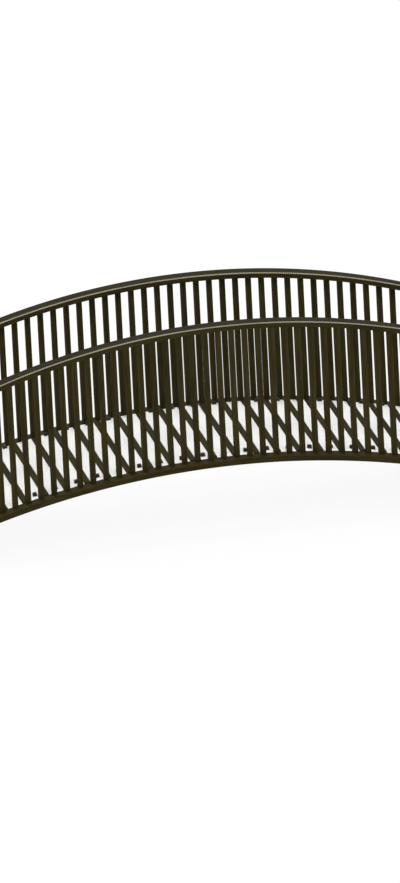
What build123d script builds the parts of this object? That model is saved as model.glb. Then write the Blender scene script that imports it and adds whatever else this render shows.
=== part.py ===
from build123d import *
from math import asin, cos, sin, sqrt
import os

# Overall sizes, in millimetres
half_length = 2756
deck_radius = 6800
rail_radius = 5575
rail_height = 1085
floor_clearance = 10

# Deck
deck_half_width = 628
deck_thickness = 46
plank_width = 104
bar_width = 46
bar_pitch = 169
bar_rise = 9
first_board_width = 158
end_board_thickness = 46

# Main beams under the deck
beam_width = 70
beam_depth = 48
beam_inset = 68

# Railings
rail_inner_overhang = 73
rail_outer_overhang = 4
rail_thickness = 45
rail_chamfer = 7
baluster_size = 42
baluster_pitch = 104
post_size = 64
post_inset = 20

# Numbers of groups
panel_count = 5
deck_group_count = 3

# Arcs of the deck
under_radius = deck_radius - deck_thickness
beam_radius = under_radius - beam_depth
end_drop = under_radius - sqrt(under_radius**2 - half_length**2)
deck_centre = floor_clearance + end_drop - under_radius
deck_end = half_length - end_board_thickness
deck_end_arc = deck_radius * asin(deck_end / deck_radius)

# Arcs of the rails
rail_top = deck_centre + deck_radius + rail_height
rail_centre = rail_top - rail_radius
rail_under_radius = rail_radius - rail_thickness
overrun = rail_top + rail_thickness

# Places along the bridge
plank_outer = deck_half_width + plank_width
beam_offset = deck_half_width - beam_inset
rail_inner = deck_half_width - rail_inner_overhang
rail_outer = deck_half_width + baluster_size + rail_outer_overhang
post_end = half_length - post_inset
post_start = post_end - post_size
baluster_reach = int((post_start - baluster_pitch / 2) / baluster_pitch)
first_bar = first_board_width + bar_width / 2 - deck_end_arc
last_bar_limit = deck_end_arc - bar_width * 3 / 2
bar_count = int((last_bar_limit - first_bar) / bar_pitch) + 1


# Shapes in the plane of the arch
def disc(radius, centre):
    return Pos(0, centre) * Circle(radius)


def band(outer, inner, centre):
    return disc(outer, centre) - disc(inner, centre)


def upright(start, end):
    return Pos((start + end) / 2, overrun / 2) * Rectangle(end - start, overrun)


def wedge(start, end):
    reach = deck_radius + overrun
    corners = [(0, 0)]
    for arc in (start, end):
        angle = arc / deck_radius
        corners.append((reach * sin(angle), reach * cos(angle)))
    return Pos(0, deck_centre) * Polygon(*corners, align=None)


# Solids across the bridge
def slab(face, near, far):
    solid = extrude(Plane.XZ * face, amount=far - near, dir=(0, 1, 0))
    return Pos(0, near, 0) * solid


def mirrored(solid):
    return mirror(solid, about=Plane.XZ)


def write(name, solids):
    pieces = [piece for solid in solids for piece in solid.solids()]
    shape = pieces[0] if len(pieces) == 1 else Compound(children=pieces)
    export_step(shape, "parts/" + name + ".step")


def write_sides(name, solids):
    write("back_" + name, solids)
    write("front_" + name, [mirrored(solid) for solid in solids])


# Deck frame
def edge_plank():
    face = band(deck_radius, under_radius, deck_centre) & upright(-half_length, half_length)
    return slab(face, deck_half_width, plank_outer)


def beam(offset):
    face = band(under_radius, beam_radius, deck_centre) & upright(-deck_end, deck_end)
    return slab(face, offset - beam_width / 2, offset + beam_width / 2)


def end_board(side):
    ends = sorted((side * deck_end, side * half_length))
    face = disc(deck_radius, deck_centre) & upright(*ends)
    return slab(face, -deck_half_width, deck_half_width)


# Deck surface, laid from the left end
def deck_crossing(start, end, rise):
    face = band(deck_radius + rise, under_radius, deck_centre)
    face = face & wedge(start, end) & upright(-deck_end, deck_end)
    return slab(face, -deck_half_width, deck_half_width)


def bar_edges():
    starts = [first_bar - bar_width / 2 + number * bar_pitch for number in range(bar_count)]
    return [(start, start + bar_width) for start in starts]


def board_edges():
    beyond = deck_end_arc + bar_width
    starts = [-beyond] + [end for start, end in bar_edges()]
    ends = [start for start, end in bar_edges()] + [beyond]
    return list(zip(starts, ends))


def deck_bars():
    return [deck_crossing(start, end, bar_rise) for start, end in bar_edges()]


def deck_boards():
    return [deck_crossing(start, end, 0) for start, end in board_edges()]


# Railings
def railing_strip(start, end, near, far):
    face = disc(rail_under_radius, rail_centre) - disc(deck_radius, deck_centre)
    return slab(face & upright(start, end), near, far)


def baluster(place):
    start = place - baluster_size / 2
    return railing_strip(start, start + baluster_size, deck_half_width, deck_half_width + baluster_size)


def end_post(side):
    ends = sorted((side * post_start, side * post_end))
    return railing_strip(*ends, deck_half_width, deck_half_width + post_size)


def cap_rail():
    face = band(rail_radius, rail_under_radius, rail_centre) & upright(-half_length, half_length)
    solid = slab(face, rail_inner, rail_outer)
    arcs = solid.edges().filter_by(GeomType.CIRCLE)
    middle = (rail_radius + rail_under_radius) / 2
    return chamfer([edge for edge in arcs if edge.radius > middle], rail_chamfer)


# Groups of like pieces
def groups(pieces, count):
    marks = [round(number * len(pieces) / count) for number in range(count + 1)]
    return [pieces[start:end] for start, end in zip(marks, marks[1:])]


def write_deck():
    for number, pieces in enumerate(groups(deck_boards(), deck_group_count), 1):
        write("deck_boards_" + str(number), pieces)
    for number, pieces in enumerate(groups(deck_bars(), deck_group_count), 1):
        write("deck_bars_" + str(number), pieces)
    write("left_end_board", [end_board(-1)])
    write("right_end_board", [end_board(1)])


def write_frame():
    write_sides("edge_plank", [edge_plank()])
    write_sides("beam", [beam(beam_offset)])
    write("centre_beam", [beam(0)])


def write_railings():
    places = [number * baluster_pitch for number in range(-baluster_reach, baluster_reach + 1)]
    for number, pieces in enumerate(groups(places, panel_count), 1):
        write_sides("balusters_" + str(number), [baluster(place) for place in pieces])
    write_sides("left_end_post", [end_post(-1)])
    write_sides("right_end_post", [end_post(1)])
    write_sides("cap_rail", [cap_rail()])


os.makedirs("parts", exist_ok=True)
write_frame()
write_deck()
write_railings()
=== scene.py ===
import math
import random

import bpy
from mathutils import Matrix, Vector


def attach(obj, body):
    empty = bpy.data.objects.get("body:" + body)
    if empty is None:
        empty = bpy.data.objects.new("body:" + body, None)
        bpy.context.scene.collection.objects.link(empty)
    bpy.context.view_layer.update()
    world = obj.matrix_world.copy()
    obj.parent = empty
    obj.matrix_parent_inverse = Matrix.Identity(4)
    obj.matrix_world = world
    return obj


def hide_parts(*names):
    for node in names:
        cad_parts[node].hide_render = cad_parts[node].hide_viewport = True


# Sizes of the part, in metres
HALF_LENGTH = 2.756
DECK_RADIUS = 6.8
RAIL_RADIUS = 5.575
RAIL_HEIGHT = 1.085
FLOOR_CLEARANCE = 0.01
DECK_HALF_WIDTH = 0.628
DECK_THICKNESS = 0.046
PLANK_WIDTH = 0.104
BAR_WIDTH = 0.046
BAR_PITCH = 0.169
BAR_RISE = 0.009
FIRST_BOARD_WIDTH = 0.158
END_BOARD_THICKNESS = 0.046
BEAM_WIDTH = 0.07
BEAM_DEPTH = 0.048
BEAM_INSET = 0.068
RAIL_INNER_OVERHANG = 0.073
RAIL_OUTER_OVERHANG = 0.004
RAIL_THICKNESS = 0.045
RAIL_CHAMFER = 0.007
BALUSTER_SIZE = 0.042
BALUSTER_PITCH = 0.104
POST_SIZE = 0.064
POST_INSET = 0.02
PANEL_COUNT = 5
DECK_GROUP_COUNT = 3

# Finish of the timber, in metres
EASE = 0.0025
WEAR_REACH = 0.005
RING_STEP = 0.05
BOARD_GAP = 0.0012
BOARD_RING_STEP = 0.2
ROUND_SLACK_SHARE = 1 - math.sqrt(0.5)
SHARP_DEGREES = 32

# How each length of timber is drawn: its place in the log, and the wear of its edges
SEED = 7
LOG_AXES = 3
LOG_SPREAD = 40.0
SOUND = 0.0
WORN = 1.0

# Layers of the bent pieces, with the places of their end joints along each layer
LAYER_COUNT = 3
LAYER_GROOVE = 0.0008
JOINT_HALF_WIDTH = 0.0004
JOINT_SHARES = ((0.31, 0.69), (0.17, 0.52, 0.86), (0.4, 0.77))

# Bolts through the boards, screws in the bars and plugs in the cap rails, in metres
FRONT_BOLT_ROW = -0.552
BACK_BOLT_ROW = 0.609
BOLT_SHIFT = 0.01
WASHER_SIZE = 0.036
WASHER_THICKNESS = 0.003
HEAD_SIZE = 0.032
HEAD_HEIGHT = 0.02
HEAD_TOP_SIZE = 0.03
BOLT_EASE = 0.0012
SCREW_RADIUS = 0.0055
SCREW_RISE = 0.0016
SCREW_SPACING = 0.022
PLUG_RADIUS = 0.008
PLUG_RISE = 0.0007
ROUND_SIDES = 16
SINK = 0.001

# Finishes of a piece's faces, by their place in its list of materials
PLAIN_FACE = 0
# Chamfers of the cap rail, coloured with a painted highlight
PAINTED_HIGHLIGHT_FACE = 1
# Top face of the cap rail, coloured with painted shade
PAINTED_SHADE_TOP_FACE = 2

# Colours, linear: two of the figure and one of rubbed edges for each wood
DARK_WOOD = ((0.0173, 0.0134, 0.0036, 1), (0.0387, 0.0305, 0.0083, 1), (0.0535, 0.0425, 0.0152, 1))
# Painted shade: the cap rail's top face is coloured darker than the dark wood to stand in for shade on it
CAP_TOP_PAINTED_SHADE = ((0.0096, 0.0075, 0.0022, 1), (0.0215, 0.0171, 0.005, 1), (0.0312, 0.0248, 0.0093, 1))
# Painted highlight: the cap rail's chamfers are coloured pale to stand in for the light along its edges
CAP_CHAMFER_PAINTED_HIGHLIGHT = ((0.19, 0.172, 0.125, 1), (0.3, 0.277, 0.214, 1), (0.3, 0.277, 0.214, 1))
PALE_WOOD = ((0.895, 0.888, 0.863, 1), (0.95, 0.945, 0.928, 1), (0.945, 0.94, 0.925, 1))

# Each wood's variation of tone, roughness, gloss and strength of bump
DARK_FINISH = (0.075, 0.75, 0.05, 0.35)
# Finish of the painted shade on the cap rail's top face
CAP_TOP_PAINTED_SHADE_FINISH = (0.075, 0.8, 0.05, 0.4)
# Finish of the painted highlight on the cap rail's chamfers
CAP_CHAMFER_PAINTED_HIGHLIGHT_FINISH = (0.075, 0.7, 0.2, 0.2)
PALE_FINISH = (0.015, 0.85, 0.05, 0.2)

# Colours of the iron and the floor
IRON_LOW = (0.012, 0.011, 0.009, 1)
IRON_HIGH = (0.03, 0.026, 0.019, 1)
FLOOR_COLOUR = (0.9, 0.9, 0.9, 1)
WHITE = (1, 1, 1, 1)

# Figure of the wood and pits of the iron: stretches along, across and through, per metre
RING_STRETCH = (1.3, 36, 36)
RING_DETAIL = 3
RING_DISTORTION = 0.6
RING_COUNT = 9
RING_SHARE = 0.35
FIBRE_STRETCH = (8, 420, 420)
FIBRE_DETAIL = 4
FIBRE_SHEEN = 0.12
BLOTCH_STRETCH = (2.5, 7, 7)
BLOTCH_DETAIL = 2
FIGURE_SPAN = (0.25, 0.75)
BLOTCH_SPAN = (0.3, 0.7)
RUBBED_SPAN = (0.4, 0.65)
RUBBED_SHARE = 0.6
WOOD_RELIEF = 0.001
PIT_STRETCH = (180, 180, 180)
PIT_DETAIL = 5
PIT_SPAN = (0.35, 0.65)
IRON_ROUGH = 0.75
IRON_SMOOTH = 0.55
IRON_GLOSS = 0.25
IRON_BUMP = 0.3
IRON_RELIEF = 0.0006

# Places of the colour sockets on a mix node
MIX_FIRST = 6
MIX_SECOND = 7
MIX_RESULT = 2

# Light: strengths, and spread, azimuth and elevation in degrees
WORLD_STRENGTH = 0.45
TOP_SUN = (0.3, 30, 0, 88)
FRONT_SUN = (1.33, 30, 0, 50)
BACK_SUN = (1.23, 30, 180, 50)
LEFT_SUN = (0.49, 20, -90, 52)
RIGHT_SUN = (0.49, 20, 90, 52)
SEEN_STRENGTH = 1.0
FLOOR_REACH = 900
FLOOR_ROUGHNESS = 1.0
FLOOR_GLOW_SHARE = 0.92

# Camera, in metres, degrees and pixels
CAMERA_ELEVATION = 19.5
CAMERA_AZIMUTH = -11.2
CAMERA_ROLL = 2.908
CAMERA_LENS = 770
CAMERA_SENSOR = 36
METRES_PER_PIXEL = 0.007766
FRAME_WIDTH = 400
FRAME_HEIGHT = 883
CROWN_PIXEL = (199.68, 299.4)

# Arcs and places that follow from the sizes
UNDER_RADIUS = DECK_RADIUS - DECK_THICKNESS
BEAM_RADIUS = UNDER_RADIUS - BEAM_DEPTH
END_DROP = UNDER_RADIUS - math.sqrt(UNDER_RADIUS**2 - HALF_LENGTH**2)
DECK_CENTRE = FLOOR_CLEARANCE + END_DROP - UNDER_RADIUS
DECK_END = HALF_LENGTH - END_BOARD_THICKNESS
DECK_END_ARC = DECK_RADIUS * math.asin(DECK_END / DECK_RADIUS)
RAIL_TOP = DECK_CENTRE + DECK_RADIUS + RAIL_HEIGHT
RAIL_CENTRE = RAIL_TOP - RAIL_RADIUS
RAIL_UNDER_RADIUS = RAIL_RADIUS - RAIL_THICKNESS
RAIL_INNER = DECK_HALF_WIDTH - RAIL_INNER_OVERHANG
RAIL_OUTER = DECK_HALF_WIDTH + BALUSTER_SIZE + RAIL_OUTER_OVERHANG
BEAM_OFFSET = DECK_HALF_WIDTH - BEAM_INSET
POST_END = HALF_LENGTH - POST_INSET
POST_START = POST_END - POST_SIZE
BALUSTER_REACH = int((POST_START - BALUSTER_PITCH / 2) / BALUSTER_PITCH)
FIRST_BAR = FIRST_BOARD_WIDTH + BAR_WIDTH / 2 - DECK_END_ARC
LAST_BAR_LIMIT = DECK_END_ARC - BAR_WIDTH * 3 / 2
BAR_COUNT = int((LAST_BAR_LIMIT - FIRST_BAR) / BAR_PITCH) + 1

chance = random.Random(SEED)


# A mesh of several closed pieces, with what the wood shader reads: place in the log, tone and wear
class Joinery:
    def __init__(self):
        self.points = []
        self.faces = []
        self.finishes = []
        self.grain = []
        self.tone = []
        self.wear = []

    def loft(self, section, stations, place, finishes=None, lengths=None):
        start = len(self.points)
        self.add_rings(section, stations, place, lengths)
        self.add_skin(start, len(section), len(stations), finishes or [PLAIN_FACE] * len(section))

    def add_rings(self, section, stations, place, lengths):
        logs = {}
        for along, shrink in stations:
            for a, b, wear in shrunk(section, shrink):
                length = lengths(b, along) if lengths else 0
                x, y, z, tone = logs.setdefault(length, cut_log())
                self.points.append(place(a, b, along))
                self.grain.append((along + x, a + y, b + z))
                self.tone.append(tone)
                self.wear.append(WORN if shrink else wear)

    def add_skin(self, start, count, rings, finishes):
        for ring in range(rings - 1):
            low = start + ring * count
            for k in range(count):
                following = (k + 1) % count
                self.faces.append((low + k, low + following, low + count + following, low + count + k))
                self.finishes.append(finishes[k])
        last = start + (rings - 1) * count
        self.faces.append(tuple(range(start + count - 1, start - 1, -1)))
        self.faces.append(tuple(range(last, last + count)))
        self.finishes += [PLAIN_FACE, PLAIN_FACE]

    def make(self, name, materials):
        mesh = bpy.data.meshes.new(name)
        mesh.from_pydata(self.points, [], self.faces)
        for material in materials:
            mesh.materials.append(material)
        mesh.polygons.foreach_set("material_index", self.finishes)
        store(mesh, "grain", "FLOAT_VECTOR", "vector", [v for g in self.grain for v in g])
        store(mesh, "tone", "FLOAT", "value", self.tone)
        store(mesh, "wear", "FLOAT", "value", self.wear)
        mesh.shade_smooth()
        mesh.set_sharp_from_angle(angle=math.radians(SHARP_DEGREES))
        piece = bpy.data.objects.new(name, mesh)
        bpy.context.scene.collection.objects.link(piece)
        turn_outward(piece)
        return piece


def cut_log():
    places = [chance.uniform(-LOG_SPREAD, LOG_SPREAD) for _ in range(LOG_AXES)]
    return (*places, chance.random())


def store(mesh, name, kind, field, values):
    attribute = mesh.attributes.new(name, kind, "POINT")
    attribute.data.foreach_set(field, values)


def turn_outward(piece):
    bpy.context.view_layer.objects.active = piece
    piece.select_set(True)
    bpy.ops.object.mode_set(mode="EDIT")
    bpy.ops.mesh.select_all(action="SELECT")
    bpy.ops.mesh.normals_make_consistent(inside=False)
    bpy.ops.object.mode_set(mode="OBJECT")
    piece.select_set(False)


# Sections: points (a, b, wear) round a piece
def shrunk(section, amount):
    if not amount:
        return section
    a_low, a_high = min(p[0] for p in section), max(p[0] for p in section)
    b_low, b_high = min(p[1] for p in section), max(p[1] for p in section)
    a_mid, b_mid = (a_low + a_high) / 2, (b_low + b_high) / 2
    a_share = 1 - 2 * amount / (a_high - a_low)
    b_share = 1 - 2 * amount / (b_high - b_low)
    return [(a_mid + (a - a_mid) * a_share, b_mid + (b - b_mid) * b_share, wear) for a, b, wear in section]


def corner_points(a, b, a_in, b_in, ease):
    slack = ease * ROUND_SLACK_SHARE
    reach = ease + WEAR_REACH
    return [
        (a, b + b_in * reach, SOUND),
        (a, b + b_in * ease, WORN),
        (a + a_in * slack, b + b_in * slack, WORN),
        (a + a_in * ease, b, WORN),
        (a + a_in * reach, b, SOUND),
    ]


def eased_box(a_low, a_high, b_low, b_high, ease=EASE):
    return [
        *corner_points(a_low, b_low, 1, 1, ease),
        *reversed(corner_points(a_high, b_low, -1, 1, ease)),
        *corner_points(a_high, b_high, -1, -1, ease),
        *reversed(corner_points(a_low, b_high, 1, -1, ease)),
    ]


def round_section(a, b, radius):
    turns = [math.tau * k / ROUND_SIDES for k in range(ROUND_SIDES)]
    return [(a + radius * math.cos(turn), b + radius * math.sin(turn), SOUND) for turn in turns]


def grooves(side, inward, marks):
    points = []
    for mark in marks:
        points.append((side, mark - LAYER_GROOVE, SOUND))
        points.append((side + inward * LAYER_GROOVE, mark, SOUND))
        points.append((side, mark + LAYER_GROOVE, SOUND))
    return points


def layered(section, inner, outer):
    marks = layer_marks(inner, outer)[1:-1]
    a_low, a_high = min(p[0] for p in section), max(p[0] for p in section)
    half = len(section) // 2
    rising = grooves(a_high, -1, marks)
    falling = list(reversed(grooves(a_low, 1, marks)))
    return section[:half] + rising + section[half:] + falling


def layer_marks(inner, outer):
    return [inner + (outer - inner) * k / LAYER_COUNT for k in range(LAYER_COUNT + 1)]


# Stations along a piece, with eased ends
def ends(low, high, step, ease=EASE):
    count = max(1, round((high - low - 2 * ease) / step))
    inner = [low + ease + (high - low - 2 * ease) * k / count for k in range(count + 1)]
    return [(low, ease)] + [(place, 0) for place in inner] + [(high, ease)]


def joint_places(layer, low, high):
    return [low + (high - low) * share for share in JOINT_SHARES[layer]]


def layered_ends(low, high):
    stations = ends(low, high, RING_STEP)
    for layer in range(LAYER_COUNT):
        for joint in joint_places(layer, low, high):
            stations += [(joint - JOINT_HALF_WIDTH, 0), (joint + JOINT_HALF_WIDTH, 0)]
    return sorted(stations)


# Which length of which layer a point is cut from
def layer_lengths(inner, outer, low, high):
    def length(b, along):
        layer = min(LAYER_COUNT - 1, int((b - inner) / (outer - inner) * LAYER_COUNT))
        passed = [joint for joint in joint_places(layer, low, high) if joint < along]
        return layer, len(passed)

    return length


def bend(section, inner, outer, reach, place, finishes=None):
    joinery = Joinery()
    lengths = layer_lengths(inner, outer, -reach, reach)
    joinery.loft(section, layered_ends(-reach, reach), place, finishes, lengths)
    return joinery


# Places: from a section's point and a station to the part's frame
def on_arc(radius, centre, x):
    return centre + math.sqrt(radius**2 - x**2)


def along_deck(a, b, along):
    return (along, a, on_arc(b, DECK_CENTRE, along))


def along_beam(a, b, along):
    low = max(0, on_arc(BEAM_RADIUS, DECK_CENTRE, along))
    high = on_arc(UNDER_RADIUS, DECK_CENTRE, along)
    return (along, a, low + (high - low) * (b - BEAM_RADIUS) / BEAM_DEPTH)


def along_rail(a, b, along):
    return (along, a, on_arc(b, RAIL_CENTRE, along))


def across_deck(a, b, along):
    angle = a / DECK_RADIUS
    return (b * math.sin(angle), along, DECK_CENTRE + b * math.cos(angle))


def up_railing(a, b, along):
    low = on_arc(DECK_RADIUS, DECK_CENTRE, a)
    high = on_arc(RAIL_UNDER_RADIUS, RAIL_CENTRE, a)
    return (a, b, low + (high - low) * along / RAIL_HEIGHT)


def up_end_board(a, b, along):
    share = b / on_arc(DECK_RADIUS, DECK_CENTRE, DECK_END)
    return (a, along, share * on_arc(DECK_RADIUS, DECK_CENTRE, a))


def out_of_arc(radius, centre):
    def place(a, b, along):
        angle = a / radius
        reach = radius + along
        return (reach * math.sin(angle), b, centre + reach * math.cos(angle))

    return place


# Deck frame
def side(sign, low, high):
    return sorted((sign * low, sign * high))


def edge_plank(sign):
    box = eased_box(*side(sign, DECK_HALF_WIDTH, DECK_HALF_WIDTH + PLANK_WIDTH), UNDER_RADIUS, DECK_RADIUS)
    section = layered(box, UNDER_RADIUS, DECK_RADIUS)
    return bend(section, UNDER_RADIUS, DECK_RADIUS, HALF_LENGTH, along_deck)


def beam(offset):
    box = eased_box(offset - BEAM_WIDTH / 2, offset + BEAM_WIDTH / 2, BEAM_RADIUS, UNDER_RADIUS)
    section = layered(box, BEAM_RADIUS, UNDER_RADIUS)
    return bend(section, BEAM_RADIUS, UNDER_RADIUS, DECK_END, along_beam)


def end_board(sign):
    joinery = Joinery()
    section = eased_box(*side(sign, DECK_END, HALF_LENGTH), 0, on_arc(DECK_RADIUS, DECK_CENTRE, DECK_END))
    joinery.loft(section, ends(-DECK_HALF_WIDTH, DECK_HALF_WIDTH, BOARD_RING_STEP), up_end_board)
    return joinery


# Deck surface, laid from the left end
def bar_places():
    starts = [FIRST_BAR - BAR_WIDTH / 2 + k * BAR_PITCH for k in range(BAR_COUNT)]
    return [(start, start + BAR_WIDTH) for start in starts]


def board_places():
    starts = [-DECK_END_ARC] + [high + BOARD_GAP for low, high in bar_places()]
    finishes = [low - BOARD_GAP for low, high in bar_places()] + [DECK_END_ARC]
    return list(zip(starts, finishes))


def groups(items, count):
    marks = [round(k * len(items) / count) for k in range(count + 1)]
    return [items[low:high] for low, high in zip(marks, marks[1:])]


def crossings(places, top):
    joinery = Joinery()
    stations = ends(-DECK_HALF_WIDTH, DECK_HALF_WIDTH, BOARD_RING_STEP)
    for low, high in places:
        joinery.loft(eased_box(low, high, UNDER_RADIUS, top), stations, across_deck)
    return joinery


# Railings
def baluster_places():
    return [k * BALUSTER_PITCH for k in range(-BALUSTER_REACH, BALUSTER_REACH + 1)]


def uprights(places, size, sign):
    joinery = Joinery()
    rows = side(sign, DECK_HALF_WIDTH, DECK_HALF_WIDTH + size)
    for x in places:
        section = eased_box(x - size / 2, x + size / 2, *rows)
        joinery.loft(section, ends(0, RAIL_HEIGHT, RAIL_HEIGHT), up_railing)
    return joinery


# A cap rail whose chamfers are painted pale as a highlight and whose top face is painted darker as shade
def cap_rail(sign):
    low, high = side(sign, RAIL_INNER, RAIL_OUTER)
    lower = eased_box(low, high, RAIL_UNDER_RADIUS, RAIL_RADIUS)[: 2 * len(corner_points(0, 0, 1, 1, EASE))]
    shoulder = RAIL_RADIUS - RAIL_CHAMFER
    reach = RAIL_CHAMFER + WEAR_REACH
    upper = [
        (high, shoulder, SOUND),
        (high - RAIL_CHAMFER, RAIL_RADIUS, SOUND),
        (high - reach, RAIL_RADIUS, SOUND),
        (low + reach, RAIL_RADIUS, SOUND),
        (low + RAIL_CHAMFER, RAIL_RADIUS, SOUND),
        (low, shoulder, SOUND),
    ]
    # The chamfers take the painted highlight and the top face the painted shade
    crown = [PAINTED_HIGHLIGHT_FACE, PAINTED_SHADE_TOP_FACE, PAINTED_SHADE_TOP_FACE, PAINTED_SHADE_TOP_FACE, PAINTED_HIGHLIGHT_FACE, PLAIN_FACE]
    marks = layer_marks(RAIL_UNDER_RADIUS, RAIL_RADIUS)[1:-1]
    rising = grooves(high, -1, marks)
    falling = list(reversed(grooves(low, 1, marks)))
    section = lower + rising + upper + falling
    finishes = [PLAIN_FACE] * (len(lower) + len(rising)) + crown + [PLAIN_FACE] * len(falling)
    return bend(section, RAIL_UNDER_RADIUS, RAIL_RADIUS, HALF_LENGTH, along_rail, finishes)


# Bolts: a square washer and a square head, one at each end of each board between two bars
def bolt_block(joinery, arc, row, size, base, height, narrowing):
    section = eased_box(arc - size / 2, arc + size / 2, row - size / 2, row + size / 2, BOLT_EASE)
    top = base + height
    stations = [(base - SINK, 0), (top - BOLT_EASE, narrowing), (top, narrowing + BOLT_EASE)]
    joinery.loft(section, stations, out_of_arc(DECK_RADIUS, DECK_CENTRE))


def bolts(row):
    joinery = Joinery()
    narrowing = (HEAD_SIZE - HEAD_TOP_SIZE) / 2
    for low, high in board_places()[1:-1]:
        arc = (low + high) / 2 + BOLT_SHIFT
        bolt_block(joinery, arc, row, WASHER_SIZE, 0, WASHER_THICKNESS, 0)
        bolt_block(joinery, arc, row, HEAD_SIZE, WASHER_THICKNESS, HEAD_HEIGHT, narrowing)
    return joinery


# Round heads that stand a little out of an arc
def stud(joinery, arc, row, radius, rise, place):
    crown = radius / 2
    stations = [(-SINK, 0), (rise / 2, 0), (rise, crown)]
    joinery.loft(round_section(arc, row, radius), stations, place)


def screws():
    joinery = Joinery()
    place = out_of_arc(DECK_RADIUS + BAR_RISE, DECK_CENTRE)
    for low, high in bar_places():
        for row in (-BEAM_OFFSET, 0, BEAM_OFFSET):
            for offset in (-SCREW_SPACING / 2, SCREW_SPACING / 2):
                stud(joinery, (low + high) / 2 + offset, row, SCREW_RADIUS, SCREW_RISE, place)
    return joinery


def plugs(sign):
    joinery = Joinery()
    place = out_of_arc(RAIL_RADIUS, RAIL_CENTRE)
    row = sign * (DECK_HALF_WIDTH + BALUSTER_SIZE / 2)
    for x in baluster_places():
        stud(joinery, RAIL_RADIUS * math.asin(x / RAIL_RADIUS), row, PLUG_RADIUS, PLUG_RISE, place)
    return joinery


# Shader nodes
class Nodes:
    def __init__(self, owner):
        owner.use_nodes = True
        self.tree = owner.node_tree

    def add(self, kind, inputs=None, **settings):
        node = self.tree.nodes.new(kind)
        for key, value in settings.items():
            setattr(node, key, value)
        for key, value in (inputs or {}).items():
            self.put(node.inputs[key], value)
        return node

    def put(self, socket, value):
        if isinstance(value, bpy.types.NodeSocket):
            self.tree.links.new(value, socket)
        else:
            socket.default_value = value

    def noise(self, coords, stretch, detail, distortion=0):
        scaled = self.add("ShaderNodeVectorMath", {0: coords, 1: stretch}, operation="MULTIPLY")
        inputs = {"Vector": scaled.outputs[0], "Scale": 1, "Detail": detail, "Distortion": distortion}
        return self.add("ShaderNodeTexNoise", inputs).outputs["Fac"]

    def maths(self, operation, first, second):
        return self.add("ShaderNodeMath", {0: first, 1: second}, operation=operation).outputs[0]

    def span(self, value, limits, new_low, new_high):
        low, high = limits
        inputs = {"Value": value, "From Min": low, "From Max": high, "To Min": new_low, "To Max": new_high}
        return self.add("ShaderNodeMapRange", inputs).outputs["Result"]

    def relief(self, shader, height, strength, depth):
        bump = self.add("ShaderNodeBump", {"Height": height, "Strength": strength, "Distance": depth})
        self.put(shader.inputs["Normal"], bump.outputs["Normal"])

    def mix(self, share, first, second):
        node = self.add("ShaderNodeMix", data_type="RGBA")
        self.put(node.inputs["Factor"], share)
        self.put(node.inputs[MIX_FIRST], first)
        self.put(node.inputs[MIX_SECOND], second)
        return node.outputs[MIX_RESULT]

    def read(self, name, output):
        return self.add("ShaderNodeAttribute", attribute_name=name).outputs[output]


def new_material(name):
    material = bpy.data.materials.new(name)
    nodes = Nodes(material)
    return material, nodes, nodes.tree.nodes["Principled BSDF"]


# The rings and fibres of wood, drawn out along the log
def wood_figure(nodes, grain):
    rings = nodes.noise(grain, RING_STRETCH, RING_DETAIL, RING_DISTORTION)
    waves = nodes.maths("PINGPONG", nodes.maths("MULTIPLY", rings, RING_COUNT), 1)
    fibres = nodes.noise(grain, FIBRE_STRETCH, FIBRE_DETAIL)
    drawn = nodes.maths("MULTIPLY", waves, RING_SHARE)
    return nodes.maths("ADD", drawn, nodes.maths("MULTIPLY", fibres, 1 - RING_SHARE)), fibres


# Wood with a figure, blotches, a tone for each length and rubbed edges
def wood(name, colours, variation, roughness, gloss, bump):
    material, nodes, shader = new_material(name)
    low, high, worn = colours
    grain = nodes.read("grain", "Vector")
    figure, fibres = wood_figure(nodes, grain)
    blotches = nodes.noise(grain, BLOTCH_STRETCH, BLOTCH_DETAIL)
    colour = nodes.mix(nodes.span(figure, FIGURE_SPAN, 0, 1), low, high)
    tone = nodes.span(nodes.read("tone", "Fac"), (0, 1), -variation, variation)
    shade = nodes.maths("ADD", tone, nodes.span(blotches, BLOTCH_SPAN, -variation, variation))
    toned = nodes.add("ShaderNodeHueSaturation", {"Color": colour, "Value": nodes.maths("ADD", shade, 1)})
    patches = nodes.span(blotches, RUBBED_SPAN, 0, RUBBED_SHARE)
    rubbed = nodes.maths("MULTIPLY", nodes.read("wear", "Fac"), patches)
    nodes.put(shader.inputs["Base Color"], nodes.mix(rubbed, toned.outputs["Color"], worn))
    sheen = nodes.span(fibres, BLOTCH_SPAN, roughness, roughness - FIBRE_SHEEN)
    nodes.put(shader.inputs["Roughness"], sheen)
    shader.inputs["Specular IOR Level"].default_value = gloss
    nodes.relief(shader, figure, bump, WOOD_RELIEF)
    return material


def iron():
    material, nodes, shader = new_material("dark_iron")
    pits = nodes.noise(nodes.read("grain", "Vector"), PIT_STRETCH, PIT_DETAIL)
    nodes.put(shader.inputs["Base Color"], nodes.mix(nodes.span(pits, PIT_SPAN, 0, 1), IRON_LOW, IRON_HIGH))
    nodes.put(shader.inputs["Roughness"], nodes.span(pits, PIT_SPAN, IRON_ROUGH, IRON_SMOOTH))
    shader.inputs["Specular IOR Level"].default_value = IRON_GLOSS
    nodes.relief(shader, pits, IRON_BUMP, IRON_RELIEF)
    return material


# Rays that the camera sees, also through gloss or glass
def seen(nodes):
    path = nodes.add("ShaderNodeLightPath")
    either = nodes.maths("MAXIMUM", path.outputs["Is Camera Ray"], path.outputs["Is Glossy Ray"])
    return nodes.maths("MAXIMUM", either, path.outputs["Is Transmission Ray"])


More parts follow.
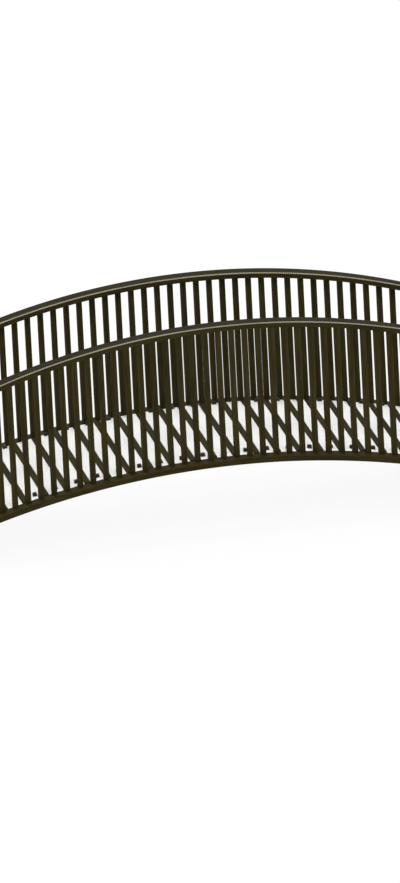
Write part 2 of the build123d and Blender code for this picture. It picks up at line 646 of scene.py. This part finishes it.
# The seen floor is white with a light shadow, and open from below
def floor_material():
    material, nodes, shader = new_material("floor")
    shader.inputs["Base Color"].default_value = FLOOR_COLOUR
    shader.inputs["Roughness"].default_value = FLOOR_ROUGHNESS
    shader.inputs["Specular IOR Level"].default_value = 0
    glow = nodes.add("ShaderNodeEmission", {"Color": WHITE, "Strength": SEEN_STRENGTH})
    share = nodes.maths("MULTIPLY", seen(nodes), FLOOR_GLOW_SHARE)
    lit = nodes.add("ShaderNodeMixShader", {0: share, 1: shader.outputs[0], 2: glow.outputs[0]})
    behind = nodes.add("ShaderNodeNewGeometry").outputs["Backfacing"]
    clear = nodes.add("ShaderNodeBsdfTransparent")
    surface = nodes.add("ShaderNodeMixShader", {0: behind, 1: lit.outputs[0], 2: clear.outputs[0]})
    nodes.put(nodes.tree.nodes["Material Output"].inputs["Surface"], surface.outputs[0])
    return material


def add_floor():
    mesh = bpy.data.meshes.new("floor")
    corners = [(-1, -1), (1, -1), (1, 1), (-1, 1)]
    mesh.from_pydata([(x * FLOOR_REACH, y * FLOOR_REACH, 0) for x, y in corners], [], [(0, 1, 2, 3)])
    mesh.materials.append(floor_material())
    floor = bpy.data.objects.new("floor", mesh)
    bpy.context.scene.collection.objects.link(floor)


# Light and camera
def towards(azimuth, elevation):
    a, e = math.radians(azimuth), math.radians(elevation)
    return Vector((math.sin(a) * math.cos(e), -math.cos(a) * math.cos(e), math.sin(e)))


def add_sun(name, strength, spread, azimuth, elevation):
    data = bpy.data.lights.new(name, "SUN")
    data.energy = strength
    data.angle = math.radians(spread)
    lamp = bpy.data.objects.new(name, data)
    lamp.rotation_euler = towards(azimuth, elevation).to_track_quat("Z", "Y").to_euler()
    bpy.context.scene.collection.objects.link(lamp)


def add_world():
    world = bpy.data.worlds.new("studio")
    nodes = Nodes(world)
    light = nodes.tree.nodes["Background"]
    light.inputs["Color"].default_value = WHITE
    light.inputs["Strength"].default_value = WORLD_STRENGTH
    backdrop = nodes.add("ShaderNodeBackground", {"Color": WHITE, "Strength": SEEN_STRENGTH})
    blend = nodes.add("ShaderNodeMixShader", {0: seen(nodes), 1: light.outputs[0], 2: backdrop.outputs[0]})
    nodes.put(nodes.tree.nodes["World Output"].inputs["Surface"], blend.outputs[0])
    bpy.context.scene.world = world


def add_camera():
    turn, roll = math.radians(CAMERA_AZIMUTH), math.radians(CAMERA_ROLL)
    back = towards(CAMERA_AZIMUTH, CAMERA_ELEVATION)
    right = Vector((math.cos(turn), math.sin(turn), 0))
    up = back.cross(right)
    dx, dy = CROWN_PIXEL[0] - FRAME_WIDTH / 2, FRAME_HEIGHT / 2 - CROWN_PIXEL[1]
    across = (dx * math.cos(roll) + dy * math.sin(roll)) * METRES_PER_PIXEL
    above = (dy * math.cos(roll) - dx * math.sin(roll)) * METRES_PER_PIXEL
    aim = Vector((0, 0, RAIL_TOP)) - right * across - up * above
    distance = FRAME_HEIGHT * METRES_PER_PIXEL * CAMERA_LENS / CAMERA_SENSOR
    data = bpy.data.cameras.new("camera")
    data.sensor_width = CAMERA_SENSOR
    data.lens = CAMERA_LENS
    data.clip_end = distance + FLOOR_REACH
    camera = bpy.data.objects.new("camera", data)
    facing = (-back).to_track_quat("-Z", "Y").to_matrix().to_4x4() @ Matrix.Rotation(-roll, 4, "Z")
    camera.matrix_world = Matrix.Translation(aim + back * distance) @ facing
    bpy.context.scene.collection.objects.link(camera)
    bpy.context.scene.camera = camera


# Pieces on the part
def dress(joinery, node, materials):
    piece = joinery.make(node + "_timber", materials)
    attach(piece, "root")
    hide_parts(node)


def dress_deck(dark, pale):
    for number, places in enumerate(groups(board_places(), DECK_GROUP_COUNT), 1):
        dress(crossings(places, DECK_RADIUS), f"deck_boards_{number}", [pale])
    for number, places in enumerate(groups(bar_places(), DECK_GROUP_COUNT), 1):
        dress(crossings(places, DECK_RADIUS + BAR_RISE), f"deck_bars_{number}", [dark])
    dress(end_board(-1), "left_end_board", [dark])
    dress(end_board(1), "right_end_board", [dark])
    dress(beam(0), "centre_beam", [dark])


def dress_side(name, sign, dark, edge, top):
    dress(edge_plank(sign), name + "_edge_plank", [dark])
    dress(beam(sign * BEAM_OFFSET), name + "_beam", [dark])
    # The cap rail takes the painted highlight on its chamfers and the painted shade on its top face
    dress(cap_rail(sign), name + "_cap_rail", [dark, edge, top])
    post = (POST_START + POST_END) / 2
    dress(uprights([-post], POST_SIZE, sign), name + "_left_end_post", [dark])
    dress(uprights([post], POST_SIZE, sign), name + "_right_end_post", [dark])
    for number, places in enumerate(groups(baluster_places(), PANEL_COUNT), 1):
        dress(uprights(places, BALUSTER_SIZE, sign), f"{name}_balusters_{number}", [dark])


def add_fixings(dark, metal):
    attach(screws().make("bar_screws", [metal]), "root")
    for name, sign, row in (("front", -1, FRONT_BOLT_ROW), ("back", 1, BACK_BOLT_ROW)):
        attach(bolts(row).make(name + "_bolts", [metal]), "root")
        plug_piece = plugs(sign).make(name + "_cap_plugs", [dark])
        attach(plug_piece, "root")


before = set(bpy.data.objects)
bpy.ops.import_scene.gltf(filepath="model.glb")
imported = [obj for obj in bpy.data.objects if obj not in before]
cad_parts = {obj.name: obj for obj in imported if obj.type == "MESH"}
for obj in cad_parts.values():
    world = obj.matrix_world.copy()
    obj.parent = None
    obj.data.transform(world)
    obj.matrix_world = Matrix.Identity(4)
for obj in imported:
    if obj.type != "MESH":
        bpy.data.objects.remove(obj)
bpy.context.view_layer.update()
dark_wood = wood("dark_wood", DARK_WOOD, *DARK_FINISH)
# Material of the painted shade on the cap rail's top face
cap_top_painted_shade = wood("cap_top_painted_shade", CAP_TOP_PAINTED_SHADE, *CAP_TOP_PAINTED_SHADE_FINISH)
# Material of the painted highlight on the cap rail's chamfers
cap_chamfer_painted_highlight = wood("cap_chamfer_painted_highlight", CAP_CHAMFER_PAINTED_HIGHLIGHT, *CAP_CHAMFER_PAINTED_HIGHLIGHT_FINISH)
pale_wood = wood("pale_wood", PALE_WOOD, *PALE_FINISH)
dress_deck(dark_wood, pale_wood)
dress_side("front", -1, dark_wood, cap_chamfer_painted_highlight, cap_top_painted_shade)
dress_side("back", 1, dark_wood, cap_chamfer_painted_highlight, cap_top_painted_shade)
add_fixings(dark_wood, iron())
add_floor()
add_world()
add_sun("top", *TOP_SUN)
add_sun("front", *FRONT_SUN)
add_sun("back", *BACK_SUN)
add_sun("left", *LEFT_SUN)
add_sun("right", *RIGHT_SUN)
add_camera()
bpy.context.scene.view_settings.view_transform = "Standard"
